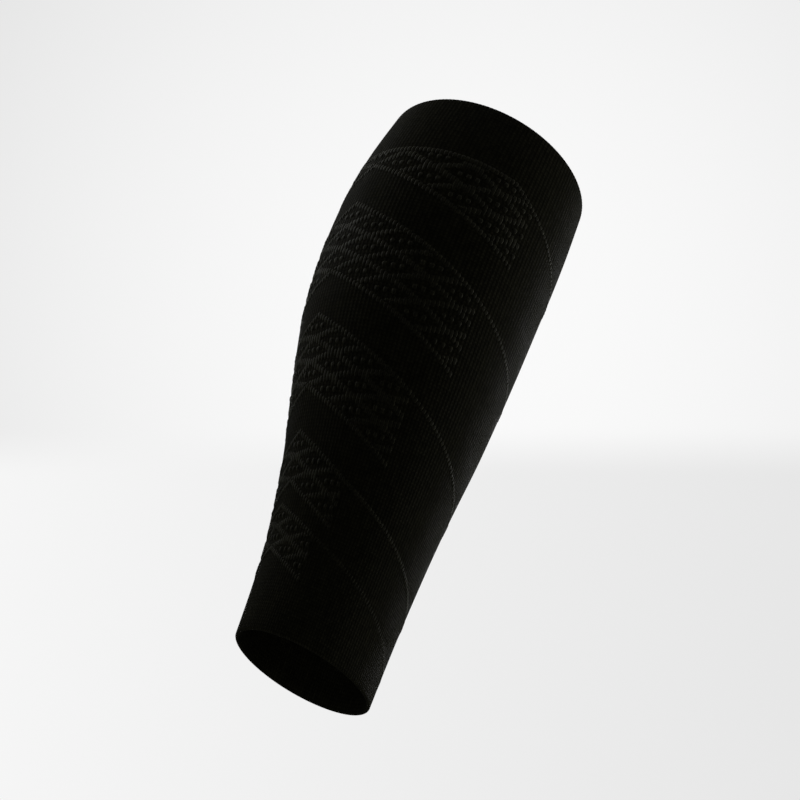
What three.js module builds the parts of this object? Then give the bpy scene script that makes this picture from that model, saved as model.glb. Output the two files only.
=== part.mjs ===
// A calf compression sleeve: one seamless knitted tube shaped to the lower leg, with five raised
// lattice bands that rise to a point on the calf and run out to a thin line round the shin.
// Millimetres. Z runs up the leg through the middle of both openings, the calf faces -Y and the
// shin +Y, and the origin is on that line, level with the fullest part of the calf.
import * as THREE from 'three';
import { mergeVertices } from 'three/addons/utils/BufferGeometryUtils.js';

// Length from hem to hem, and the height of the fullest calf above the ankle hem.
const LENGTH = 310;
const CALF_HEIGHT = 250;

// Thickness of the knit, and of the turned edge inside each hem.
const WALL = 1.2;
const HEM_WALL = 2;
const HEM_DEPTH = 9;
const HEM_ROUND = 0.7;

// Each hem falls towards the shin by this share of its depth, and the fall dies out over the fade.
const HEM_DIP = 0.1;
const HEM_FADE = 78;

// Sections across the leg: height above the ankle hem, depth from calf to shin, width from side to
// side, and how far the middle lies behind the line through the openings.
const SECTIONS = [
  { height: 0, depth: 77, width: 67, behind: 0 },
  { height: 30, depth: 80, width: 71, behind: 0.5 },
  { height: 60, depth: 84, width: 76, behind: 0.5 },
  { height: 100, depth: 94, width: 87, behind: 2 },
  { height: 140, depth: 108, width: 102, behind: 4.5 },
  { height: 180, depth: 120, width: 115, behind: 7.5 },
  { height: 215, depth: 126, width: 121, behind: 8 },
  { height: 250, depth: 128, width: 123, behind: 6.5 },
  { height: 280, depth: 126, width: 121, behind: 4 },
  { height: 310, depth: 120, width: 115, behind: 0 },
];

// Lattice bands from the knee down. low: height of the lower point on the calf line; row: height of
// a cell; rows: cells above the low point; gain: cells added for each column out; columns: columns of
// cells on each side of the middle one; pitch: degrees from one column to the next, and drop: the
// fall over it; fall: fall of the thin line in millimetres a degree; turn: degrees that the band's
// middle lies round from the calf line, because a worn sleeve twists a little.
const BANDS = [
  { low: 263, row: 13.5, rows: 1, gain: 0.5, columns: 5, pitch: 16.5, drop: 6.8, fall: 0.5, turn: 2 },
  { low: 197, row: 14, rows: 3, gain: 0, columns: 4, pitch: 18, drop: 8.7, fall: 0.49, turn: 2 },
  { low: 134, row: 12.7, rows: 3, gain: 0, columns: 3, pitch: 18.5, drop: 9.2, fall: 0.5, turn: 0 },
  { low: 84.5, row: 12.8, rows: 2, gain: 0, columns: 2, pitch: 17, drop: 9, fall: 0.43, turn: 0 },
  { low: 47, row: 12, rows: 2, gain: 0, columns: 2, pitch: 15.5, drop: 6.6, fall: 0.36, turn: -4.5 },
];

// The lattice: half a ridge's width, its thickness and its clearance over the knit, the width of
// the thin line, and how far the last cells reach past the middle of their column.
const RIDGE_HALF = 1.2;
const RIDGE_THICK = 0.6;
const RIDGE_LIFT = 0.35;
const LINE_WIDTH = 1.4;
const END_REACH = 0.5;

// Facets: sides of the tube, rows up its outer and inner faces, and degrees along a ridge.
const TUBE_SIDES = 64;
const OUTER_ROWS = 24;
const INNER_ROWS = 12;
const RIDGE_STEP = 8.75;

// Corners closer than this are one corner.
const WELD = 1e-3;

// Degrees from the calf line to the middle of the shin.
const SHIN = 180;

const sections = new THREE.CubicInterpolant(
  SECTIONS.map((section) => section.height),
  SECTIONS.flatMap((section) => [section.depth, section.width, section.behind]),
  3,
);

// The section at a height along the knit.
function sectionAt(height) {
  const [depth, width, behind] = sections.evaluate(height);
  return { depth, width, behind };
}

// The point at an angle round from the calf line, a height along the knit and an offset outwards.
function skinPoint(degrees, height, offset) {
  const { depth, width, behind } = sectionAt(height);
  const angle = THREE.MathUtils.degToRad(degrees);
  const forward = -(depth / 2 + offset) * Math.cos(angle);
  const fromHem = Math.min(height, LENGTH - height);
  const fade = Math.max(0, 1 - fromHem / HEM_FADE);
  return new THREE.Vector3(
    (width / 2 + offset) * Math.sin(angle),
    forward - behind,
    height - HEM_DIP * fade * forward,
  );
}

// Whole numbers from 0 up to a count.
function counted(count) {
  return Array.from({ length: count }, (_, i) => i);
}

// Evenly spaced values from first to last, both included.
function spread(first, last, count) {
  return counted(count).map((i) => THREE.MathUtils.lerp(first, last, i / (count - 1)));
}

// The wall's closed profile, as inset from the outer face and height: up the outside, over the knee
// hem, down the inside and round the ankle hem.
function wallProfile() {
  const hemEdge = (edge, inwards) => [
    [HEM_ROUND, edge],
    [HEM_WALL - HEM_ROUND, edge],
    [HEM_WALL, edge + inwards * HEM_ROUND],
    [HEM_WALL, edge + inwards * (HEM_DEPTH - HEM_WALL)],
  ];
  const outside = spread(HEM_ROUND, LENGTH - HEM_ROUND, OUTER_ROWS).map((height) => [0, height]);
  const inside = spread(LENGTH - HEM_DEPTH, HEM_DEPTH, INNER_ROWS).map((height) => [WALL, height]);
  const profile = [...outside, ...hemEdge(LENGTH, -1), ...inside, ...hemEdge(0, 1).reverse()];
  return [...profile, profile[0]];
}

// The tube: a turned wall whose rings are then drawn out to the leg's sections.
function tubeGeometry() {
  const plainRadius = 50;
  const profile = wallProfile().map(([inset, height]) => new THREE.Vector2(plainRadius - inset, height));
  const turned = new THREE.LatheGeometry(profile, TUBE_SIDES);
  const position = turned.attributes.position;
  for (let i = 0; i < position.count; i += 1) {
    const [x, height, z] = [position.getX(i), position.getY(i), position.getZ(i)];
    const degrees = THREE.MathUtils.radToDeg(Math.atan2(x, z));
    const point = skinPoint(degrees, height, Math.hypot(x, z) - plainRadius);
    position.setXYZ(i, point.x, point.y, point.z);
  }
  turned.deleteAttribute('normal');
  turned.deleteAttribute('uv');
  const closed = mergeVertices(turned, WELD);
  closed.computeVertexNormals();
  return closed;
}

// A lattice crossing, with degrees from the band's middle and height: crossing 0 is the low point.
function crossing(band, column, step) {
  return [column * band.pitch, band.low - band.drop * column + band.row * step];
}

// Cells stacked in one column of a band.
function cellsInColumn(band, column) {
  return band.rows + Math.floor(band.gain * column);
}

// A point on the band's straight end, reached from a crossing of the last column by a ridge that
// falls by the drop, or that rises by a cell's height less the drop.
function endPoint(band, step, rise) {
  const [degrees, height] = crossing(band, band.columns, step);
  return [degrees + band.pitch * END_REACH, height + (rise - band.drop) * END_REACH];
}

// Outlines of the cells on one side of a band, counter-clockwise as seen from outside the leg.
function sideCells(band) {
  const last = band.columns;
  const cells = [];
  for (let column = 1; column <= last; column += 1) {
    for (let step = 0; step < cellsInColumn(band, column); step += 1) {
      const left = crossing(band, column - 1, step);
      const bottom = crossing(band, column, step);
      const top = crossing(band, column, step + 1);
      const right = column < last
        ? [crossing(band, column + 1, step + 1)]
        : [endPoint(band, step, band.row), endPoint(band, step + 1, 0)];
      cells.push([left, bottom, ...right, top]);
    }
  }
  const topCell = cells.at(-1);
  const [lineDegrees, lineHeight] = topCell.at(-2);
  topCell.splice(-2, 0, [lineDegrees, lineHeight - LINE_WIDTH]);
  for (let step = 0; step < cellsInColumn(band, last); step += 1) {
    cells.push([crossing(band, last, step), endPoint(band, step, 0), endPoint(band, step, band.row)]);
  }
  return cells;
}

// Outlines of the cells stacked on the band's middle.
function middleCells(band) {
  return counted(band.rows).map((step) => {
    const [degrees, height] = crossing(band, 1, step + 1);
    return [[-degrees, height], crossing(band, 0, step), [degrees, height], crossing(band, 0, step + 1)];
  });
}

// An outline drawn in by half a ridge on every side, measured in millimetres along the knit.
function drawnIn(outline, millimetresPerDegree) {
  const flat = outline.map(([degrees, height]) => new THREE.Vector2(degrees * millimetresPerDegree, height));
  return flat.map((corner, i) => {
    const before = flat.at(i - 1);
    const after = flat[(i + 1) % flat.length];
    const arriving = corner.clone().sub(before).normalize();
    const leaving = after.clone().sub(corner).normalize();
    const bisector = new THREE.Vector2(-arriving.y - leaving.y, arriving.x + leaving.x).normalize();
    const squareness = bisector.dot(new THREE.Vector2(-leaving.y, leaving.x));
    const inner = corner.clone().addScaledVector(bisector, RIDGE_HALF / squareness);
    return [inner.x / millimetresPerDegree, inner.y];
  });
}

// The point at a share of the way from one point of the knit to another.
function between([degreesA, heightA], [degreesB, heightB], share) {
  return [THREE.MathUtils.lerp(degreesA, degreesB, share), THREE.MathUtils.lerp(heightA, heightB, share)];
}

// The frame between a cell's outline and its gap, as four-cornered patches.
function framePatches(outline, millimetresPerDegree) {
  const gap = drawnIn(outline, millimetresPerDegree);
  return outline.flatMap((corner, i) => {
    const next = (i + 1) % outline.length;
    const steps = Math.max(1, Math.round(Math.abs(outline[next][0] - corner[0]) / RIDGE_STEP));
    return counted(steps).map((step) => [
      between(corner, outline[next], step / steps),
      between(corner, outline[next], (step + 1) / steps),
      between(gap[i], gap[next], (step + 1) / steps),
      between(gap[i], gap[next], step / steps),
    ]);
  });
}

// The thin line from the top of the band's end round to the middle of the shin.
function linePatches(band) {
  const [startDegrees, startHeight] = endPoint(band, cellsInColumn(band, band.columns), 0);
  const steps = Math.ceil((SHIN - startDegrees) / RIDGE_STEP);
  const upper = spread(startDegrees, SHIN, steps + 1)
    .map((degrees) => [degrees, startHeight - band.fall * (degrees - startDegrees)]);
  const lower = upper.map(([degrees, height]) => [degrees, height - LINE_WIDTH]);
  return upper.slice(1).map((end, i) => [lower[i], lower[i + 1], end, upper[i]]);
}

// A patch on the other side of the band's middle.
function mirrored(patch) {
  return patch.map(([degrees, height]) => [-degrees, height]).reverse();
}

// A raised sheet over the knit: outer and inner faces of every patch, and a wall on each free edge.
function raisedSheet(patches, turn) {
  const corners = [];
  const freeEdges = new Map();
  const spot = ([degrees, height]) => {
    const round = Math.abs(degrees) === SHIN ? SHIN : degrees;
    return `${round.toFixed(4)} ${height.toFixed(4)}`;
  };
  const place = ([degrees, height], offset) => skinPoint(degrees + turn, height, offset);
  const addPatch = (a, b, c, d) => corners.push(a, b, c, a, c, d);
  const outer = RIDGE_LIFT + RIDGE_THICK;
  for (const patch of patches) {
    addPatch(...patch.map((point) => place(point, outer)));
    addPatch(...[...patch].reverse().map((point) => place(point, RIDGE_LIFT)));
    patch.forEach((from, i) => {
      const to = patch[(i + 1) % patch.length];
      if (!freeEdges.delete(`${spot(to)} ${spot(from)}`)) {
        freeEdges.set(`${spot(from)} ${spot(to)}`, [from, to]);
      }
    });
  }
  for (const [from, to] of freeEdges.values()) {
    addPatch(place(from, RIDGE_LIFT), place(to, RIDGE_LIFT), place(to, outer), place(from, outer));
  }
  const closed = mergeVertices(new THREE.BufferGeometry().setFromPoints(corners), WELD);
  closed.computeVertexNormals();
  return closed;
}

// One lattice band: both sides, the middle cells and the thin line.
function bandGeometry(band) {
  const { depth, width } = sectionAt(band.low);
  const millimetresPerDegree = THREE.MathUtils.degToRad((depth + width) / 4);
  const frame = (outline) => framePatches(outline, millimetresPerDegree);
  const side = [...sideCells(band).flatMap(frame), ...linePatches(band)];
  return raisedSheet([...middleCells(band).flatMap(frame), ...side, ...side.map(mirrored)], band.turn);
}

// A named piece of black knit.
function knitMesh(name, geometry, colour, roughness) {
  const knit = new THREE.MeshStandardMaterial({ color: colour, roughness, metalness: 0 });
  const mesh = new THREE.Mesh(geometry, knit);
  mesh.name = name;
  return mesh;
}

const sleeve = new THREE.Group();
sleeve.position.z = -CALF_HEIGHT;
sleeve.add(knitMesh('leg_tube', tubeGeometry(), 0x0a0a0b, 0.9));
BANDS.forEach((band, i) => {
  sleeve.add(knitMesh(`lattice_band_${i + 1}`, bandGeometry(band), 0x141415, 0.85));
});

export default sleeve;
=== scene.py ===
# %% [markdown]
# # A calf compression sleeve
#
# The sleeve is one seamless tube of fine black stretch knit, shaped to the calf and open at the
# knee and the ankle. Five lattice bands stand a little proud of it. Each rises to a point on the
# calf and runs out to a thin line round the shin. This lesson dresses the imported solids: the tube
# gets its wales, the bands become rows of raised loops, and both get a yarn finish.
#
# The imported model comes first, because it is the frame that every piece is fitted to. Its box is
# kept, so that the last cell can write it beside the box of the finished pieces.

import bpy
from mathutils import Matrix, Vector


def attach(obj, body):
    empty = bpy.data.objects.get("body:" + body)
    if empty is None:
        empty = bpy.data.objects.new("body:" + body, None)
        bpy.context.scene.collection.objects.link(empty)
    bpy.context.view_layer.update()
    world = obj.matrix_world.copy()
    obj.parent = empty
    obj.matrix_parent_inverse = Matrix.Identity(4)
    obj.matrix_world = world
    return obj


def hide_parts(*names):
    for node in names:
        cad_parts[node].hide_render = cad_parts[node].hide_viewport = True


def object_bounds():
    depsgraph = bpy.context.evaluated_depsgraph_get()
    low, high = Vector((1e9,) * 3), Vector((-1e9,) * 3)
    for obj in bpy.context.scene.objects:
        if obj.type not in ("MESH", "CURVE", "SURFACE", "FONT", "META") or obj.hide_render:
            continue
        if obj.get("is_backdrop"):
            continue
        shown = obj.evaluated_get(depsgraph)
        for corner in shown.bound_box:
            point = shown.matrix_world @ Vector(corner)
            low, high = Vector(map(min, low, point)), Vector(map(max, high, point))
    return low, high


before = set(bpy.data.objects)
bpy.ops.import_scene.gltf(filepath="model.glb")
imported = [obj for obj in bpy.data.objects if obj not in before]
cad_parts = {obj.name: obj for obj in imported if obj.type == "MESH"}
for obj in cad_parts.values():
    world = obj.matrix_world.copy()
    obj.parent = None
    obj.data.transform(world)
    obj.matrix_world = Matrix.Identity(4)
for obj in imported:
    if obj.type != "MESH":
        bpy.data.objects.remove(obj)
cad_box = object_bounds()
print("solids:", ", ".join(sorted(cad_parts)))

# %% [markdown]
# ## Camera
#
# The photograph looks up at the sleeve from below its ankle end, with the camera rolled, so that
# the sleeve leans to the right. Two angles say where the camera stands round the sleeve, and `aim`
# is the point close to the sleeve's line that it looks at. The rotation matrix is built from three
# axes, which is clearer here than three Euler angles that depend on each other.

# %% Place the camera
import math

import bpy
from mathutils import Matrix, Vector

MILLIMETRE = 0.001
CAMERA_AZIMUTH = 58
CAMERA_ELEVATION = -24.71
CAMERA_ROLL = math.radians(20.04)
CAMERA_DISTANCE = 0.9
CAMERA_LENS = 75.65
AIM_HEIGHT = -91.58 * MILLIMETRE
AIM_SIDEWAYS = -1.5 * MILLIMETRE


def direction(azimuth, elevation):
    """The way out from the sleeve, from degrees round from the calf and degrees above the level."""
    turn = math.radians(azimuth)
    rise = math.radians(elevation)
    level = math.cos(rise)
    return Vector((math.sin(turn) * level, -math.cos(turn) * level, math.sin(rise)))


def in_scene(thing):
    bpy.context.scene.collection.objects.link(thing)
    return thing


camera_back = direction(CAMERA_AZIMUTH, CAMERA_ELEVATION)
level_right = direction(CAMERA_AZIMUTH + 90, 0)
level_up = camera_back.cross(level_right)
camera_right = math.cos(CAMERA_ROLL) * level_right + math.sin(CAMERA_ROLL) * level_up
camera_up = math.cos(CAMERA_ROLL) * level_up - math.sin(CAMERA_ROLL) * level_right
aim = level_right * AIM_SIDEWAYS + Vector((0, 0, AIM_HEIGHT))

camera = in_scene(bpy.data.objects.new("camera", bpy.data.cameras.new("camera")))
camera.data.lens = CAMERA_LENS
camera_axes = Matrix((camera_right, camera_up, camera_back)).transposed().to_4x4()
camera.matrix_world = Matrix.Translation(aim + camera_back * CAMERA_DISTANCE) @ camera_axes
bpy.context.scene.camera = camera
print("camera at", [round(value, 3) for value in camera.location])

# %% [markdown]
# ## Node helpers
#
# Shapes and finishes are both made of node trees here, and a tree of arithmetic is long to write.
# Small helpers keep it short: `plug` links a socket or sets a plain value, `add_node` makes a node
# and plugs its inputs, `calc` does one step of arithmetic and hands its result on, and `new_group`
# starts a tree with named inputs and outputs.

# %% Helpers that build node trees
NUMBER = "NodeSocketFloat"
WHOLE_NUMBER = "NodeSocketInt"
VECTOR = "NodeSocketVector"
SHAPE = "NodeSocketGeometry"
OBJECT = "NodeSocketObject"
FINISH = "NodeSocketMaterial"


def plug(tree, value, socket):
    if isinstance(value, bpy.types.NodeSocket):
        tree.links.new(value, socket)
    else:
        socket.default_value = value


def add_node(tree, kind, inputs=None, **settings):
    node = tree.nodes.new(kind)
    for name, value in settings.items():
        setattr(node, name, value)
    for key, value in (inputs or {}).items():
        plug(tree, value, node.inputs[key])
    return node


def calc(tree, operation, *values):
    node = add_node(tree, "ShaderNodeMath", operation=operation)
    for value, socket in zip(values, node.inputs):
        plug(tree, value, socket)
    return node.outputs[0]


def new_group(name, kind, inputs, outputs):
    """A node tree with named inputs and outputs, and the sockets of its two end nodes."""
    tree = bpy.data.node_groups.new(name, kind)
    for label, (socket_type, value) in inputs.items():
        socket = tree.interface.new_socket(label, in_out="INPUT", socket_type=socket_type)
        if value is not None:
            socket.default_value = value
    for label, socket_type in outputs.items():
        tree.interface.new_socket(label, in_out="OUTPUT", socket_type=socket_type)
    return tree, tree.nodes.new("NodeGroupInput").outputs, tree.nodes.new("NodeGroupOutput").inputs


print("node helpers ready")

# %% [markdown]
# ## The leg's form
#
# The sleeve has no sewn shape of its own: it takes the form of the leg, wide at the calf and narrow
# at the ankle. Ten sections give that form. Each has a height above the ankle hem, a depth from
# calf to shin, a width from side to side, and how far its middle lies behind the line through the
# two openings. The sections become a line of points that carry these sizes, and a Catmull-Rom curve
# through them fills in the heights between, as a loft does.

# %% Sections of the leg, in millimetres
SLEEVE_LENGTH = 310
CALF_HEIGHT = 250
LEG_SECTIONS = [
    # height, depth, width, behind
    (0, 78, 67, 0.8),
    (30, 80, 71, 0.5),
    (60, 84, 76, 0.5),
    (100, 94, 87, 2),
    (140, 108, 102, 4.5),
    (180, 120, 115, 7.5),
    (215, 126, 121, 8),
    (250, 128, 123, 6.5),
    (280, 125.5, 121, 3.5),
    (310, 119, 116, -0.8),
]


def chart(name, points, edges=(), **columns):
    """A helper object: points of a knitting chart, with a named number or vector at each point."""
    mesh = bpy.data.meshes.new(name)
    mesh.from_pydata(points, edges, [])
    for column, values in columns.items():
        vector = isinstance(values[0], tuple)
        attribute = mesh.attributes.new(column, "FLOAT_VECTOR" if vector else "FLOAT", "POINT")
        flat = [number for value in values for number in value] if vector else values
        attribute.data.foreach_set("vector" if vector else "value", flat)
    return in_scene(bpy.data.objects.new(name, mesh))


leg_sections = chart(
    "leg_sections",
    [(0, 0, height) for height, *_ in LEG_SECTIONS],
    [(i, i + 1) for i in range(len(LEG_SECTIONS) - 1)],
    section=[(depth, width, behind) for _, depth, width, behind in LEG_SECTIONS],
)
print("leg sections:", len(LEG_SECTIONS))

# %% [markdown]
# One node group turns a place on the knit into a point in space. A place is given as on a knitting
# chart: degrees round from the calf line, millimetres up from the ankle hem, and an offset out from
# the surface. The tube and the bands both use this group, so they can't drift apart. Both hems fall
# towards the shin, each by its own share of the sleeve's depth there, and the fall dies out away
# from the hems.

# %% The group that wraps the chart round the leg
ANKLE_DIP = 0.15
KNEE_DIP = 0.135
HEM_FADE = 78
CURVE_STEPS = 16


def section_at(tree, sections, height):
    """Depth, width and middle of the leg at a height, read from the curve through the sections."""
    lines = add_node(tree, "GeometryNodeObjectInfo", {"Object": sections})
    loft = add_node(tree, "GeometryNodeMeshToCurve", {"Mesh": lines.outputs["Geometry"]})
    smooth = add_node(
        tree, "GeometryNodeCurveSplineType", {"Curve": loft.outputs[0]}, spline_type="CATMULL_ROM")
    fine = add_node(
        tree, "GeometryNodeSetSplineResolution",
        {"Geometry": smooth.outputs[0], "Resolution": CURVE_STEPS})
    sizes = add_node(
        tree, "GeometryNodeInputNamedAttribute", {"Name": "section"}, data_type="FLOAT_VECTOR")
    section = add_node(
        tree, "GeometryNodeSampleCurve",
        data_type="FLOAT_VECTOR", mode="LENGTH", use_all_curves=True)
    plug(tree, fine.outputs[0], section.inputs["Curves"])
    plug(tree, sizes.outputs["Attribute"], section.inputs["Value"])
    plug(tree, height, section.inputs["Length"])
    return add_node(tree, "ShaderNodeSeparateXYZ", {0: section.outputs["Value"]}).outputs


def hem_dip(tree, height, back):
    """How far a point near a hem is raised on the calf side, or lowered on the shin side."""
    from_knee = calc(tree, "SUBTRACT", SLEEVE_LENGTH, height)
    from_hem = calc(tree, "MINIMUM", height, from_knee)
    fade = calc(tree, "MAXIMUM", calc(tree, "MULTIPLY_ADD", from_hem, -1 / HEM_FADE, 1), 0)
    at_ankle = calc(tree, "LESS_THAN", height, SLEEVE_LENGTH / 2)
    share = calc(tree, "MULTIPLY_ADD", at_ankle, ANKLE_DIP - KNEE_DIP, KNEE_DIP)
    return calc(tree, "MULTIPLY", calc(tree, "MULTIPLY", back, fade), share)


def make_wrap():
    tree, place, out = new_group(
        "on_the_leg",
        "GeometryNodeTree",
        {
            "Sections": (OBJECT, None),
            "Degrees": (NUMBER, 0.0),
            "Height": (NUMBER, 0.0),
            "Offset": (NUMBER, 0.0),
        },
        {"Position": VECTOR},
    )
    depth, width, behind = section_at(tree, place["Sections"], place["Height"])
    angle = calc(tree, "RADIANS", place["Degrees"])
    half_width = calc(tree, "MULTIPLY_ADD", width, 0.5, place["Offset"])
    half_depth = calc(tree, "MULTIPLY_ADD", depth, 0.5, place["Offset"])
    across = calc(tree, "MULTIPLY", half_width, calc(tree, "SINE", angle))
    back = calc(tree, "MULTIPLY", half_depth, calc(tree, "COSINE", angle))
    forward = calc(tree, "MULTIPLY", calc(tree, "ADD", back, behind), -1)
    height = calc(tree, "ADD", place["Height"], hem_dip(tree, place["Height"], back))
    up = calc(tree, "SUBTRACT", height, CALF_HEIGHT)
    point = add_node(tree, "ShaderNodeCombineXYZ", {0: across, 1: forward, 2: up})
    metres = add_node(tree, "ShaderNodeVectorMath", {0: point.outputs[0]}, operation="SCALE")
    plug(tree, MILLIMETRE, metres.inputs["Scale"])
    plug(tree, metres.outputs[0], out["Position"])
    return tree


wrap_tree = make_wrap()
print("wrap group:", len(wrap_tree.nodes), "nodes")

# %% [markdown]
# Every piece ends in the same way: its points are wrapped on the leg, its instances become real
# geometry, it takes its finish, and the modifier's result is kept as a plain mesh. A live modifier
# would look the same here, but a plain mesh is what other programs can read. Four helpers do this.

# %% Helpers that finish a piece
def wrapped(tree, shape, sections, degrees, height, offset):
    """Puts every point of a shape at its chart place on the leg."""
    group = add_node(tree, "GeometryNodeGroup", node_tree=wrap_tree)
    plug(tree, sections, group.inputs["Sections"])
    plug(tree, degrees, group.inputs["Degrees"])
    plug(tree, height, group.inputs["Height"])
    plug(tree, offset, group.inputs["Offset"])
    moved = add_node(
        tree, "GeometryNodeSetPosition", {"Geometry": shape, "Position": group.outputs["Position"]})
    return moved.outputs[0]


def named(tree, name):
    """Reads a number that each point carries."""
    return add_node(tree, "GeometryNodeInputNamedAttribute", {"Name": name}).outputs["Attribute"]


def finished(tree, shape, finish, out):
    """Smooth shading, real geometry in place of instances, and the finish: the end of a piece's tree."""
    smooth = add_node(tree, "GeometryNodeSetShadeSmooth", {"Geometry": shape})
    real = add_node(tree, "GeometryNodeRealizeInstances", {"Geometry": smooth.outputs[0]})
    dressed = add_node(
        tree, "GeometryNodeSetMaterial", {"Geometry": real.outputs[0], "Material": finish})
    plug(tree, dressed.outputs[0], out)


def made_piece(name, base, tree, **inputs):
    """Runs a tree on a helper object, and keeps the result as a plain mesh."""
    modifier = base.modifiers.new(tree.name, "NODES")
    modifier.node_group = tree
    identifiers = {item.name: item.identifier for item in tree.interface.items_tree}
    for label, value in inputs.items():
        modifier[identifiers[label]] = value
    depsgraph = bpy.context.evaluated_depsgraph_get()
    mesh = bpy.data.meshes.new_from_object(
        base.evaluated_get(depsgraph), preserve_all_data_layers=True, depsgraph=depsgraph)
    mesh.name = name
    bpy.data.objects.remove(base)
    mesh.calc_loop_triangles()
    print(name, "has", len(mesh.loop_triangles), "triangles")
    return in_scene(bpy.data.objects.new(name, mesh))


print("piece helpers ready")

# %% [markdown]
# ## Yarn finishes
#
# Both finishes are black nylon yarn, and the stitches are drawn by one shared group. A knit stitch
# looks like a V: two legs that rise to the sides. Columns of stitches are called wales and rows are
# called courses. The group reads the piece's own `knit` map, whose first number is in wales and
# second in courses, so the stitches follow the leg and widen with it, as stretched knit does. It
# also gives each wale a streak and each stitch a speck of chance, because no two loops of yarn are
# dyed and drawn alike.

# %% The stitch group
WALES = 160
DEGREES_PER_WALE = 360 / WALES
COURSE_HEIGHT = 1.95
STITCH_SLANT = 1.1
LEG_SWELL = 0.32
LEG_MIDDLE = 0.58
WALE_ROUNDNESS = 0.65
SPECK_LAYER = 1.0


def chance(tree, *place):
    """A fixed random number for each place that is counted in whole wales and courses."""
    spot = add_node(tree, "ShaderNodeCombineXYZ", dict(enumerate(place)))
    noise = add_node(
        tree, "ShaderNodeTexWhiteNoise", {"Vector": spot.outputs[0]}, noise_dimensions="3D")
    return noise.outputs["Value"]


def make_stitches():
    tree, given, out = new_group(
        "knit_stitches",
        "ShaderNodeTree",
        {"Map": (VECTOR, None)},
        {"Height": NUMBER, "Streak": NUMBER, "Speck": NUMBER},
    )
    wale, course, _ = add_node(tree, "ShaderNodeSeparateXYZ", {0: given["Map"]}).outputs
    aside = calc(tree, "ABSOLUTE", calc(tree, "SUBTRACT", calc(tree, "FRACT", wale), 0.5))
    slanted = calc(tree, "MULTIPLY_ADD", aside, STITCH_SLANT, course)
    leg_wave = calc(tree, "SINE", calc(tree, "MULTIPLY", slanted, math.tau))
    leg = calc(tree, "MULTIPLY_ADD", leg_wave, LEG_SWELL, LEG_MIDDLE)
    from_groove = calc(tree, "MULTIPLY", calc(tree, "SUBTRACT", 0.5, aside), 2)
    round_wale = calc(tree, "POWER", from_groove, WALE_ROUNDNESS)
    plug(tree, calc(tree, "MULTIPLY", leg, round_wale), out["Height"])
    whole_wale = calc(tree, "FLOOR", wale)
    whole_course = calc(tree, "FLOOR", slanted)
    plug(tree, chance(tree, whole_wale), out["Streak"])
    plug(tree, chance(tree, whole_wale, whole_course, SPECK_LAYER), out["Speck"])
    return tree


stitch_tree = make_stitches()
print("stitch group:", len(stitch_tree.nodes), "nodes")

# %% [markdown]
# A yarn finish is the Principled shader with three things on top. The stitches are bump, because a
# course is too fine to model all over the tube. The colour is uneven: it is mottled by noise and
# streaked from wale to wale, and the grooves between stitches get painted shade. The sheen is the
# soft light that loose fibres catch at the edges of the cloth. The tube's points also carry painted
# light and shade of their own: painted shade on the knee hem's edge, painted light on the ankle
# hem's edge and the inside.

# %% How a yarn finish is made
MOTTLE_SCALE = 60.0
MOTTLE_DETAIL = 6.0
# Spread and least value of each share that varies over the yarn.
MOTTLE_SHARE = (0.4, 0.6)
STREAK_SHARE = (0.2, 0.9)
GROOVE_SHADE_SHARE = (1.0, 0.4)
SPECK_SHARE = (0.5, 0.75)
ROUGH_SHARE = (0.3, 0.45)
SHEEN_ROUGHNESS = 0.35
SHEEN_TINT = (0.94, 1, 0.68, 1)
BUMP_STRENGTH = 0.8


def yarn_finish(name, colour, shine, sheen, stitch_depth, painted_light_and_shade=None):
    material = bpy.data.materials.new(name)
    material.use_nodes = True
    tree = material.node_tree
    yarn = tree.nodes["Principled BSDF"]
    stitches = add_node(tree, "ShaderNodeGroup", node_tree=stitch_tree)
    plug(tree, add_node(tree, "ShaderNodeUVMap", uv_map="knit").outputs[0], stitches.inputs["Map"])
    height, streak, speck = stitches.outputs
    mottle = add_node(
        tree, "ShaderNodeTexNoise",
        {
            "Vector": add_node(tree, "ShaderNodeTexCoord").outputs["Object"],
            "Scale": MOTTLE_SCALE,
            "Detail": MOTTLE_DETAIL,
        },
    ).outputs[0]

    mottled = calc(tree, "MULTIPLY_ADD", mottle, *MOTTLE_SHARE)
    streaked = calc(tree, "MULTIPLY_ADD", streak, *STREAK_SHARE)
    # Painted shade: the colour is darker where the stitches are low, in the grooves between them.
    groove_shade = calc(tree, "MULTIPLY_ADD", height, *GROOVE_SHADE_SHARE)
    specked = calc(tree, "MULTIPLY_ADD", speck, *SPECK_SHARE)
    tone = calc(tree, "MULTIPLY", mottled, streaked)
    tone = calc(tree, "MULTIPLY", tone, calc(tree, "MULTIPLY", groove_shade, specked))
    # The tube's attribute adds painted light and shade: darker on the knee edge, lighter on the ankle
    # edge and the inside.
    if painted_light_and_shade is not None:
        painted_factor = add_node(tree, "ShaderNodeAttribute", attribute_name=painted_light_and_shade).outputs["Fac"]
        tone = calc(tree, "MULTIPLY", tone, painted_factor)
    # The base colour holds the uneven yarn colour together with the painted shade and painted light.
    uneven_and_painted_colour = add_node(tree, "ShaderNodeVectorMath", {0: colour}, operation="SCALE")
    plug(tree, tone, uneven_and_painted_colour.inputs["Scale"])
    plug(tree, uneven_and_painted_colour.outputs[0], yarn.inputs["Base Color"])

    plug(tree, calc(tree, "MULTIPLY_ADD", mottle, *ROUGH_SHARE), yarn.inputs["Roughness"])
    yarn.inputs["Specular IOR Level"].default_value = shine
    yarn.inputs["Sheen Weight"].default_value = sheen
    yarn.inputs["Sheen Roughness"].default_value = SHEEN_ROUGHNESS
    yarn.inputs["Sheen Tint"].default_value = SHEEN_TINT
    bump = add_node(
        tree, "ShaderNodeBump",
        {
            "Height": calc(tree, "MULTIPLY", height, specked),
            "Strength": BUMP_STRENGTH,
            "Distance": stitch_depth * MILLIMETRE,
        },
    )
    plug(tree, bump.outputs[0], yarn.inputs["Normal"])
    return material


print("yarn finish ready")
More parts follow.
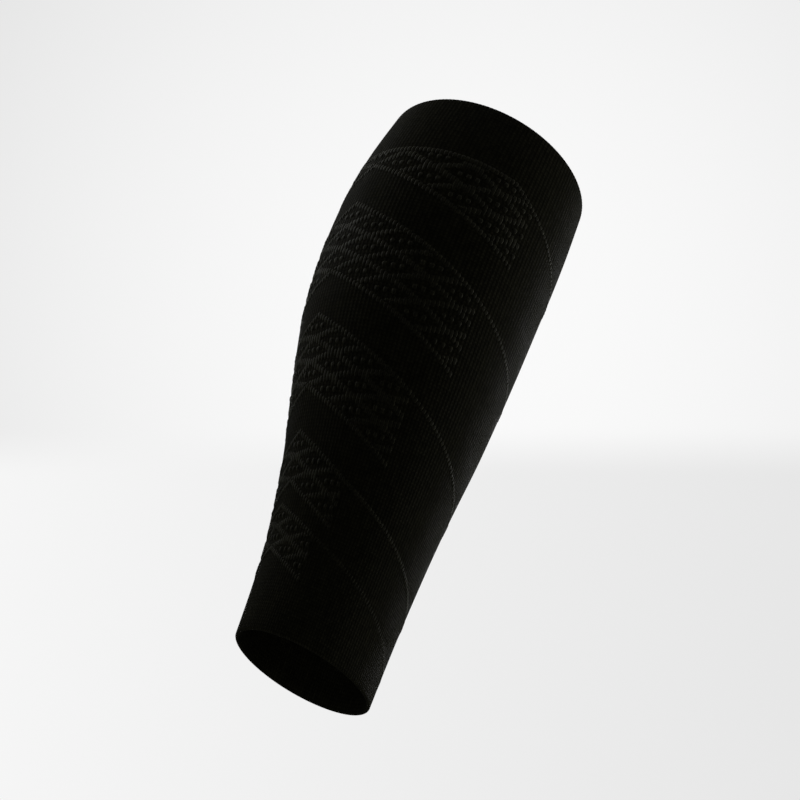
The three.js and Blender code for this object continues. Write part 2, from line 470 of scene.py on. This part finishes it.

# %% [markdown]
# The sleeve is black all over, and the lattice shows because its raised yarn catches more light. So
# the two finishes differ little: the ground is the darker and the more matt, with deep stitches,
# and the lattice yarn is smoother, with more sheen. Its colour is a shade lighter: painted light
# for the light that the raised loops catch.

# %% Finishes of the ground and the lattice
ground_finish = yarn_finish(
    "ground_yarn",
    colour=(0.0074, 0.0072, 0.0042), shine=0.005, sheen=0.009, stitch_depth=0.2, painted_light_and_shade="painted_light_and_shade")
# The lattice's lighter colour is painted light for the light that its raised loops catch.
lattice_finish = yarn_finish(
    "lattice_yarn",
    colour=(0.0122, 0.0118, 0.0066), shine=0.025, sheen=0.06, stitch_depth=0.08)
print("finishes:", ground_finish.name, lattice_finish.name)

# %% [markdown]
# ## The knitted tube
#
# The tube's wall is a closed profile: up the outside, over the rounded knee hem, down the inside and
# round the ankle hem. A cylinder with a Solidify modifier would give a wall too, but not the thicker
# turned edge inside each hem. Every point of the profile also carries how strong the wales are there
# and a factor of painted light and shade: painted shade makes the knee edge darker than the outside,
# and painted light makes the ankle edge lighter and the inside, the back of the knit, lighter again.
# The inside also has flatter wales.

# %% The wall's profile
WALL = 1.2
HEM_WALL = 2
HEM_DEPTH = 9
HEM_ROUND = 0.7
OUTER_ROWS = 50
INNER_ROWS = 18
ROUND_STEPS = 4
# The second number of each face is painted light and shade: below 1 it darkens as painted shade (knee
# edge), above 1 it lightens as painted light (ankle edge, inside).
OUTSIDE = dict(ribbing=1.0, painted_light_and_shade=1.0)
KNEE_EDGE = dict(ribbing=1.0, painted_light_and_shade=0.35)
ANKLE_EDGE = dict(ribbing=1.0, painted_light_and_shade=1.5)
INSIDE = dict(ribbing=0.5, painted_light_and_shade=2.0)
WALL_COLUMNS = ("inset", "height", "ribbing", "painted_light_and_shade")


def spread(first, last, count):
    return [first + (last - first) * i / (count - 1) for i in range(count)]


def wall_point(inset, height, face):
    return dict(face, inset=inset, height=height)


def rounded_hem(edge, inwards, turned):
    """A hem's edge, from the outer face over to the inner one."""
    outer = []
    for step in range(1, ROUND_STEPS + 1):
        turn = math.pi / 2 * step / ROUND_STEPS
        inset = HEM_ROUND * (1 - math.cos(turn))
        from_edge = HEM_ROUND * (1 - math.sin(turn))
        outer.append(wall_point(inset, edge + inwards * from_edge, turned))
    inner = [wall_point(HEM_WALL - point["inset"], point["height"], turned) for point in outer[::-1]]
    foot = [
        wall_point(HEM_WALL, edge + inwards * HEM_ROUND, INSIDE),
        wall_point(HEM_WALL, edge + inwards * (HEM_DEPTH - HEM_WALL), INSIDE),
    ]
    return outer + inner + foot


outer_heights = spread(HEM_ROUND, SLEEVE_LENGTH - HEM_ROUND, OUTER_ROWS)
inner_heights = spread(SLEEVE_LENGTH - HEM_DEPTH, HEM_DEPTH, INNER_ROWS)
wall = [wall_point(0, height, OUTSIDE) for height in outer_heights]
wall += rounded_hem(SLEEVE_LENGTH, -1, KNEE_EDGE)
wall += [wall_point(WALL, height, INSIDE) for height in inner_heights]
wall += rounded_hem(0, 1, ANKLE_EDGE)[::-1]
wall_profile = chart(
    "wall_profile",
    [(point["inset"], point["height"], 0) for point in wall],
    [(i, (i + 1) % len(wall)) for i in range(len(wall))],
    **{column: [point[column] for point in wall] for column in WALL_COLUMNS},
)
print("wall profile:", len(wall), "points")

# %% [markdown]
# The stitches need a map that says which wale and course each corner of a face is on. It is worked
# out from the chart place, so no seam has to be marked and unwrapped. Where the ring closes at the
# shin, the last faces would run back from 180 degrees to -180, so their corners count on past 180.

# %% Helpers for the knit map
def over_the_seam(tree, degrees):
    """Degrees at a face's corners that run on past 180 where the ring closes at the shin."""
    face_degrees = add_node(tree, "GeometryNodeFieldOnDomain", {0: degrees}, domain="FACE").outputs[0]
    wrapped_back = calc(tree, "GREATER_THAN", calc(tree, "SUBTRACT", face_degrees, degrees), 90)
    return calc(tree, "MULTIPLY_ADD", wrapped_back, 360, degrees)


def with_knit_map(tree, shape, degrees, height):
    """Stores the knit map at the corners of faces: wales across and courses up."""
    wale = calc(tree, "DIVIDE", degrees, DEGREES_PER_WALE)
    course = calc(tree, "DIVIDE", height, COURSE_HEIGHT)
    spot = add_node(tree, "ShaderNodeCombineXYZ", {0: wale, 1: course})
    stored = add_node(tree, "GeometryNodeStoreNamedAttribute", data_type="FLOAT2", domain="CORNER")
    plug(tree, shape, stored.inputs["Geometry"])
    plug(tree, "knit", stored.inputs["Name"])
    plug(tree, spot.outputs[0], stored.inputs["Value"])
    return stored.outputs[0]


print("wales round the leg:", WALES)

# %% [markdown]
# A ring with six points to each wale is swept with the wall's profile, and the wrap group then puts
# every point on the leg. The ridge of each wale is real geometry, because the wales catch the light
# along the sides of the sleeve. The courses are finer and stay in the bump.

# %% Sweep the wall round and wrap it on the leg
POINTS_PER_WALE = 6
WALE_RELIEF = 0.05


def make_tube():
    tree, given, out = new_group(
        "knitted_tube",
        "GeometryNodeTree",
        {
            "Sections": (OBJECT, None),
            "Profile": (OBJECT, None),
            "Wales": (WHOLE_NUMBER, WALES),
            "Relief": (NUMBER, WALE_RELIEF),
            "Finish": (FINISH, None),
        },
        {"Geometry": SHAPE},
    )
    ring_points = calc(tree, "MULTIPLY", given["Wales"], POINTS_PER_WALE)
    ring = add_node(tree, "GeometryNodeCurvePrimitiveCircle", {"Resolution": ring_points})
    step = calc(tree, "DIVIDE", 360, ring_points)
    index = add_node(tree, "GeometryNodeInputIndex").outputs[0]
    counted = add_node(
        tree, "GeometryNodeStoreNamedAttribute",
        {
            "Geometry": ring.outputs["Curve"],
            "Name": "degrees",
            "Value": calc(tree, "MULTIPLY_ADD", index, step, -180),
        },
    )
    outline = add_node(tree, "GeometryNodeObjectInfo", {"Object": given["Profile"]})
    profile = add_node(tree, "GeometryNodeMeshToCurve", {"Mesh": outline.outputs["Geometry"]})
    swept = add_node(
        tree, "GeometryNodeCurveToMesh",
        {"Curve": counted.outputs[0], "Profile Curve": profile.outputs[0]})

    degrees = named(tree, "degrees")
    height = named(tree, "height")
    mapped = with_knit_map(tree, swept.outputs[0], over_the_seam(tree, degrees), height)
    turn = calc(tree, "RADIANS", calc(tree, "MULTIPLY", degrees, given["Wales"]))
    ridge = calc(tree, "MULTIPLY", calc(tree, "COSINE", turn), given["Relief"])
    ribbed = calc(tree, "MULTIPLY", ridge, named(tree, "ribbing"))
    offset = calc(tree, "SUBTRACT", ribbed, named(tree, "inset"))
    on_leg = wrapped(tree, mapped, given["Sections"], degrees, height, offset)
    finished(tree, on_leg, given["Finish"], out["Geometry"])
    return tree


knit_tube = made_piece(
    "knit_tube", chart("tube_base", []), make_tube(),
    Sections=leg_sections, Profile=wall_profile, Finish=ground_finish)
bpy.data.objects.remove(wall_profile)

# %% [markdown]
# ## The lattice bands
#
# In a band, the knit changes to an openwork stitch: every wale is raised to bars of yarn, and the
# bars stop at diamond-shaped cells where the knit lies lower. Each column of cells stands lower than
# the one before, by a little more than half a cell, so the lines that are left between the cells
# cross as in a trellis. Three small round loops lie in each cell. A border of short bars follows
# both edges, and a chain of single loops runs on from the upper border round the shin.
#
# The five bands are charted here, from the knee down. Across, a band is counted in wales from its
# middle on the calf line: a cell's column is eight wales wide, `end` is the band's last wale on
# either side, and `turn` shifts the whole band, because a worn sleeve twists a little. Up, it is
# measured in millimetres: `low` is its lower edge in the middle, `row` is the height of a cell and
# `rows` how many stand in the middle, `drop` is how much lower each next column stands, and `fall`
# is the slope of the thin line per degree. The top band grows by `gain` of a row for each column,
# up to a level `top` that turns down at its `shoulder`. `line` makes the lowest band's thin line
# slighter than the others.

# %% Chart of the lattice bands
CELL_WALES = 8
ABOVE_THE_KNEE = 400
PLAIN_BAND = dict(gain=0, top=ABOVE_THE_KNEE, shoulder=0, line=1)
TOP_BAND = dict(gain=0.5, top=272, shoulder=34, line=1)
BANDS = [
    dict(TOP_BAND, low=263.3, row=13.5, rows=1, drop=7.3, fall=0.5, end=40, turn=1),
    dict(PLAIN_BAND, low=196.8, row=14.1, rows=3, drop=8.7, fall=0.49, end=36, turn=1),
    dict(PLAIN_BAND, low=134.2, row=12.67, rows=3, drop=9.0, fall=0.5, end=29, turn=0),
    dict(PLAIN_BAND, low=84.6, row=12.8, rows=2, drop=9.5, fall=0.43, end=19, turn=0),
    dict(PLAIN_BAND, low=47.2, row=12.1, rows=2, drop=7.7, fall=0.36, end=17, turn=-2, line=0.55),
]


def lower_edge(band, wale):
    return band["low"] - band["drop"] * wale / CELL_WALES


def upper_edge(band, wale):
    tall = band["row"] * (band["rows"] + band["gain"] * wale / CELL_WALES)
    past_shoulder = max(0, wale - band["shoulder"]) * DEGREES_PER_WALE
    return min(lower_edge(band, wale) + tall, band["top"] - band["fall"] * past_shoulder)


print("bands end at heights of", [round(upper_edge(band, band["end"])) for band in BANDS], "mm")

# %% [markdown]
# A band is worked wale by wale on one side of the calf line, and the other side is its mirror image.
# At each wale the cells are spans of height that are cut out of the band, and what is left becomes
# bars. A cell is a diamond that is sheared to follow the drop. It is drawn in so far that a line of
# the same height is left on all four sides.

# %% Cells and bars of one band
TRELLIS_LINE = 3.5
BORDER_HALF = 1.5
BORDER_GAP = 0.25
SHORTEST_BAR = 1.2
BAR_YARN = dict(width=2.0, rise=0.36, lean=0)
BORDER_YARN = dict(width=2.0, rise=0.42, lean=0)


def cells_of(band, last_wale):
    """Middles of the cells on one side of a band, as wale and height."""
    for column in range(math.ceil(last_wale / CELL_WALES) + 1):
        wale = column * CELL_WALES
        for step in range(band["rows"] + math.floor(band["gain"] * column)):
            yield wale, lower_edge(band, wale) + band["row"] * (step + 0.5)


def cell_spans(band, wale):
    """Spans of height that cells cut out of the band at one wale."""
    spans = []
    for cell_wale, middle in cells_of(band, band["end"] + CELL_WALES / 2):
        aside = (wale - cell_wale) / CELL_WALES
        half = (band["row"] * (1 - abs(aside)) - TRELLIS_LINE) / 2
        if half > 0:
            height = middle - (band["drop"] - band["row"] / 2) * aside
            spans.append((height - half, height + half))
    return sorted(spans)


def bar(wale, low, high, yarn):
    return dict(yarn, wale=wale, height=(low + high) / 2, length=high - low)


def trellis_bars(band, wale):
    """Bars and border loops at one wale."""
    edges = [lower_edge(band, wale), upper_edge(band, wale)]
    loops = [bar(wale, edge - BORDER_HALF, edge + BORDER_HALF, BORDER_YARN) for edge in edges]
    inset = BORDER_HALF + BORDER_GAP
    foot = edges[0] + inset
    top = edges[1] - inset
    for low, high in cell_spans(band, wale) + [(top, top)]:
        if min(low, top) - foot > SHORTEST_BAR:
            loops.append(bar(wale, foot, min(low, top), BAR_YARN))
        foot = max(foot, high)
    return loops


print("bars on the calf line:", [len(trellis_bars(band, 0)) for band in BANDS])

# %% [markdown]
# The loops in the cells and the chain of the thin line are single loops, so each is a short bar of
# its own. All the loops of a band then go into one list, and a seeded generator makes each a little
# longer or shorter, wider or narrower, and higher or lower than its neighbours, as yarn under
# tension is.

# %% All the loops of one band
import random

CELL_LOOP = 2.8
CELL_LOOP_WALES = (-2, 0, 2)
CELL_YARN = dict(width=2.3, rise=0.5, lean=0)
LINE_LOOP = 2.5
LINE_YARN = dict(width=2.2, rise=0.34, lean=-0.3)
SHIN_WALE = WALES // 2
UNEVEN = dict(length=0.08, width=0.1, rise=0.25)


def cell_loops(band):
    """Single loops that lie in the cells, on every second wale."""
    return [
        bar(cell_wale + aside, middle - CELL_LOOP / 2, middle + CELL_LOOP / 2, CELL_YARN)
        for cell_wale, middle in cells_of(band, band["end"])
        for aside in CELL_LOOP_WALES
        if 0 <= cell_wale + aside <= band["end"]
    ]


def line_loops(band):
    """The chain of loops from the top of the band's end to the shin."""
    start = upper_edge(band, band["end"])
    rise = LINE_YARN["rise"] * band["line"]
    width = LINE_YARN["width"] * band["line"]
    yarn = dict(LINE_YARN, rise=rise, width=width)
    loops = []
    for wale in range(band["end"] + 1, SHIN_WALE + 1):
        height = start - band["fall"] * (wale - band["end"]) * DEGREES_PER_WALE
        loops.append(bar(wale, height - LINE_LOOP / 2, height + LINE_LOOP / 2, yarn))
    return loops


def band_loops(band):
    """All the loops of a band. Those in its middle and on the shin have no mirror image."""
    side = cell_loops(band) + line_loops(band)
    for wale in range(band["end"] + 1):
        side += trellis_bars(band, wale)
    mirror = [
        dict(loop, wale=-loop["wale"], lean=-loop["lean"])
        for loop in side
        if 0 < loop["wale"] < SHIN_WALE
    ]
    return side + mirror


def uneven_loops(loops, seed):
    """The same loops with small differences in size."""
    draw = random.Random(seed)
    for loop in loops:
        for size, most in UNEVEN.items():
            loop[size] *= 1 + draw.uniform(-most, most)
    return loops


print("loops in each band:", [len(band_loops(band)) for band in BANDS])

# %% [markdown]
# A raised loop is a short bar of yarn that comes up out of the knit and goes down into it again. The
# lattice could be drawn as bump on the tube, but bump has no outline, and on the real sleeve the
# bands stand up along its edge. So one bar is made from a line that is swept with a small circle,
# thinner to its ends and lifted in the middle. Geometry Nodes put a copy at every point of the
# chart, stretched to its length, and wrap the whole chart round the leg.

# %% The trees of a loop and of a band
LOOP_POINTS = 7
YARN_SIDES = 7
END_TAPER = 0.45
END_TAPER_POWER = 3
ARCH = 0.45
ARCH_POWER = 2.5


def make_loop(tree):
    """One bar of yarn, a unit wide, long and high."""
    line = add_node(
        tree, "GeometryNodeCurvePrimitiveLine", {"Start": (0, -0.5, 0), "End": (0, 0.5, 0)})
    points = add_node(
        tree, "GeometryNodeResampleCurve", {"Curve": line.outputs[0], "Count": LOOP_POINTS})
    along = add_node(tree, "GeometryNodeSplineParameter").outputs["Factor"]
    to_end = calc(tree, "ABSOLUTE", calc(tree, "MULTIPLY_ADD", along, 2, -1))
    narrowed = calc(tree, "MULTIPLY", calc(tree, "POWER", to_end, END_TAPER_POWER), END_TAPER)
    round_yarn = add_node(
        tree, "GeometryNodeCurvePrimitiveCircle", {"Resolution": YARN_SIDES, "Radius": 0.5})
    yarn_bar = add_node(
        tree, "GeometryNodeCurveToMesh",
        {
            "Curve": points.outputs[0],
            "Profile Curve": round_yarn.outputs["Curve"],
            "Scale": calc(tree, "SUBTRACT", 1, narrowed),
            "Fill Caps": True,
        },
    )
    spot = add_node(tree, "GeometryNodeInputPosition").outputs[0]
    _, along_bar, _ = add_node(tree, "ShaderNodeSeparateXYZ", {0: spot}).outputs
    to_tip = calc(tree, "ABSOLUTE", calc(tree, "MULTIPLY", along_bar, 2))
    lowered = calc(tree, "MULTIPLY", calc(tree, "POWER", to_tip, ARCH_POWER), ARCH)
    lift = add_node(tree, "ShaderNodeCombineXYZ", {2: calc(tree, "SUBTRACT", ARCH, lowered)})
    arched = add_node(
        tree, "GeometryNodeSetPosition", {"Geometry": yarn_bar.outputs[0], "Offset": lift.outputs[0]})
    return arched.outputs[0]


def make_bands():
    tree, given, out = new_group(
        "raised_loops",
        "GeometryNodeTree",
        {"Chart": (SHAPE, None), "Sections": (OBJECT, None), "Finish": (FINISH, None)},
        {"Geometry": SHAPE},
    )
    size = add_node(
        tree, "ShaderNodeCombineXYZ",
        {0: named(tree, "width"), 1: named(tree, "length"), 2: named(tree, "rise")})
    lean = add_node(tree, "ShaderNodeCombineXYZ", {2: named(tree, "lean")})
    copies = add_node(
        tree, "GeometryNodeInstanceOnPoints",
        {
            "Points": given["Chart"],
            "Instance": make_loop(tree),
            "Rotation": lean.outputs[0],
            "Scale": size.outputs[0],
        },
    )
    real = add_node(tree, "GeometryNodeRealizeInstances", {"Geometry": copies.outputs[0]})
    spot = add_node(tree, "GeometryNodeInputPosition").outputs[0]
    degrees, height, offset = add_node(tree, "ShaderNodeSeparateXYZ", {0: spot}).outputs
    mapped = with_knit_map(tree, real.outputs[0], degrees, height)
    on_leg = wrapped(tree, mapped, given["Sections"], degrees, height, offset)
    finished(tree, on_leg, given["Finish"], out["Geometry"])
    return tree


band_tree = make_bands()
print("band tree:", len(band_tree.nodes), "nodes")

# %% Make the five bands
LOOP_COLUMNS = ("length", "width", "rise", "lean")


def made_band(number, band):
    """One band from its chart. Its number is also the seed of its small differences."""
    loops = uneven_loops(band_loops(band), number)
    loop_chart = chart(
        f"chart_{number}",
        [((loop["wale"] + band["turn"]) * DEGREES_PER_WALE, loop["height"], 0) for loop in loops],
        **{column: [loop[column] for loop in loops] for column in LOOP_COLUMNS},
    )
    return made_piece(
        f"loop_band_{number}", loop_chart, band_tree, Sections=leg_sections, Finish=lattice_finish)


loop_bands = [made_band(number, band) for number, band in enumerate(BANDS, 1)]
bpy.data.objects.remove(leg_sections)

# %% [markdown]
# ## Put the pieces on the frame
#
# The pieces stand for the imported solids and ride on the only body. The tube is cloth that the leg
# stretches, and its flat size is its girth at the fullest calf by its length. Because it tapers, its
# flat area is less than that rectangle.

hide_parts("leg_tube")
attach(knit_tube, "root")
for number, loop_band in enumerate(loop_bands, 1):
    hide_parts(f"lattice_band_{number}")
    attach(loop_band, "root")
print("pieces on the frame:", 1 + len(loop_bands))

# %% [markdown]
# ## Floor
#
# A worn sleeve keeps its shape only on a leg, so it is shown in the air, well above a plain pale
# floor. The floor glows by itself in the backdrop's own tone, so no edge shows where it ends. It is
# hidden from diffuse and glossy rays, because its glow would light the sleeve from below.

# %% Pale floor
FLOOR_HEIGHT = -0.62
FLOOR_HALF = 6
FLOOR_COLOUR = (0.05, 0.05, 0.05, 1)
FLOOR_ROUGHNESS = 0.9
FLOOR_GLOW = 0.82
WHITE = (1, 1, 1, 1)


def pale_paint():
    paint = bpy.data.materials.new("pale_floor")
    paint.use_nodes = True
    surface = paint.node_tree.nodes["Principled BSDF"]
    surface.inputs["Base Color"].default_value = FLOOR_COLOUR
    surface.inputs["Roughness"].default_value = FLOOR_ROUGHNESS
    surface.inputs["Specular IOR Level"].default_value = 0
    surface.inputs["Emission Color"].default_value = WHITE
    surface.inputs["Emission Strength"].default_value = FLOOR_GLOW
    return paint


def pale_floor():
    mesh = bpy.data.meshes.new("floor")
    corners = [(-1, -1), (1, -1), (1, 1), (-1, 1)]
    points = [(x * FLOOR_HALF, y * FLOOR_HALF, FLOOR_HEIGHT) for x, y in corners]
    mesh.from_pydata(points, [], [(0, 1, 2, 3)])
    mesh.materials.append(pale_paint())
    floor = in_scene(bpy.data.objects.new("floor", mesh))
    floor.visible_diffuse = False
    floor.visible_glossy = False
    return floor


pale_floor()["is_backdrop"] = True
print("floor at", FLOOR_HEIGHT, "m")

# %% [markdown]
# ## Lights
#
# Black cloth shows its form by the light along its edges, so the strongest softboxes stand to the
# sides and behind, and what faces the camera stays nearly black. Each light is placed by degrees
# round from the camera and above the level, and faces the sleeve.

# %% Softboxes round the sleeve
LIGHTS = [
    # name, degrees round from the camera, elevation, distance, width, height, power
    ("left_softbox", -97, 25, 1.2, 0.6, 0.8, 7.8),
    ("right_softbox", 97, 12, 1.2, 0.6, 0.8, 9),
    ("right_rim", 135, 15, 1.2, 0.4, 0.8, 6),
    ("back_softbox", 180, 10, 1.4, 1.0, 1.0, 18),
    ("top_softbox", 0, 86, 1.2, 0.8, 0.8, 2.5),
    ("low_fill", 0, -55, 0.55, 0.4, 0.4, 0.2),
    ("right_fill", 60, 10, 0.9, 0.6, 0.6, 1),
    ("left_rim", -135, 30, 1.2, 0.4, 0.8, 1.4),
]


def soft_light(name, from_camera, elevation, distance, width, height, power):
    lamp = bpy.data.lights.new(name, "AREA")
    lamp.shape = "RECTANGLE"
    lamp.size = width
    lamp.size_y = height
    lamp.energy = power
    light = in_scene(bpy.data.objects.new(name, lamp))
    away = direction(CAMERA_AZIMUTH + from_camera, elevation)
    light.location = Vector((0, 0, AIM_HEIGHT)) + away * distance
    light.rotation_mode = "QUATERNION"
    light.rotation_quaternion = away.to_track_quat("Z", "Y")
    light.visible_camera = False


for light_row in LIGHTS:
    soft_light(*light_row)
print("lights:", len(LIGHTS))

# %% [markdown]
# ## Backdrop
#
# Behind the sleeve stand a white wall with a painted glow of light and a pale sweep of floor with
# painted shade that darkens it towards the camera's right, and a blurred horizon between them. They
# are painted on the world by direction, as on a dome that stays where it is, and the dome is a plain
# wall tone outside this set. Only the camera sees it: the sleeve gets a dim even light instead,
# because a white dome would turn black yarn grey.

# %% Paint the backdrop
AMBIENT = 0.19
GLOW_ACROSS = 0.042
GLOW_UP = 0.036
GLOW = 0.956
GLOW_FADE = -1.5
SWEEP_TONE = 0.857
SWEEP_SHADE_SLOPE = -0.26
HORIZON = -0.018
HORIZON_SOFT = 0.024
HORIZON_BLEND = 0.3
SET_EDGE = 0.90
SET_SOFT = 0.04
PLAIN_WALL = 0.84


def blended(tree, first, second, share):
    """The first value where the share is 0, and the second where it is 1."""
    return calc(tree, "MULTIPLY_ADD", share, calc(tree, "SUBTRACT", second, first), first)


def along_axis(tree, ray, axis):
    part = add_node(tree, "ShaderNodeVectorMath", {0: ray, 1: axis}, operation="DOT_PRODUCT")
    return part.outputs["Value"]


def make_backdrop(tree):
    ray = add_node(tree, "ShaderNodeTexCoord").outputs["Generated"]
    across = along_axis(tree, ray, camera_right)
    up = along_axis(tree, ray, camera_up)
    ahead = along_axis(tree, ray, -camera_back)
    aside = calc(tree, "POWER", calc(tree, "SUBTRACT", across, GLOW_ACROSS), 2)
    above = calc(tree, "POWER", calc(tree, "SUBTRACT", up, GLOW_UP), 2)
    lit_wall = calc(tree, "MULTIPLY_ADD", calc(tree, "ADD", aside, above), GLOW_FADE, GLOW)
    # Painted shade on the sweep: darker towards the camera's right.
    sweep = calc(tree, "MULTIPLY_ADD", across, SWEEP_SHADE_SLOPE, SWEEP_TONE)
    down = calc(tree, "DIVIDE", calc(tree, "SUBTRACT", HORIZON, up), HORIZON_SOFT)
    most = calc(tree, "SMOOTH_MIN", down, 1, HORIZON_BLEND)
    below = calc(tree, "SMOOTH_MAX", most, 0, HORIZON_BLEND)
    tone = blended(tree, lit_wall, sweep, below)
    towards = calc(tree, "DIVIDE", calc(tree, "SUBTRACT", ahead, SET_EDGE), SET_SOFT)
    on_set = calc(tree, "MAXIMUM", calc(tree, "MINIMUM", towards, 1), 0)
    seen = blended(tree, PLAIN_WALL, tone, on_set)
    by_camera = add_node(tree, "ShaderNodeLightPath").outputs["Is Camera Ray"]
    backdrop = tree.nodes["Background"]
    backdrop.inputs["Color"].default_value = WHITE
    plug(tree, blended(tree, AMBIENT, seen, by_camera), backdrop.inputs["Strength"])


world = bpy.data.worlds.new("studio")
world.use_nodes = True
make_backdrop(world.node_tree)
bpy.context.scene.world = world
bpy.context.scene.view_settings.view_transform = "Standard"
print("backdrop:", len(world.node_tree.nodes), "nodes")

# %% [markdown]
# ## The size
#
# The finished pieces stand a little proud of the imported solids. The last lines print both boxes.

visual_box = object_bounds()
boxes = {
    "cad": [list(corner) for corner in cad_box],
    "visual": [list(corner) for corner in visual_box],
}
for name, box in boxes.items():
    print(name, "box:", [[round(value, 4) for value in corner] for corner in box])
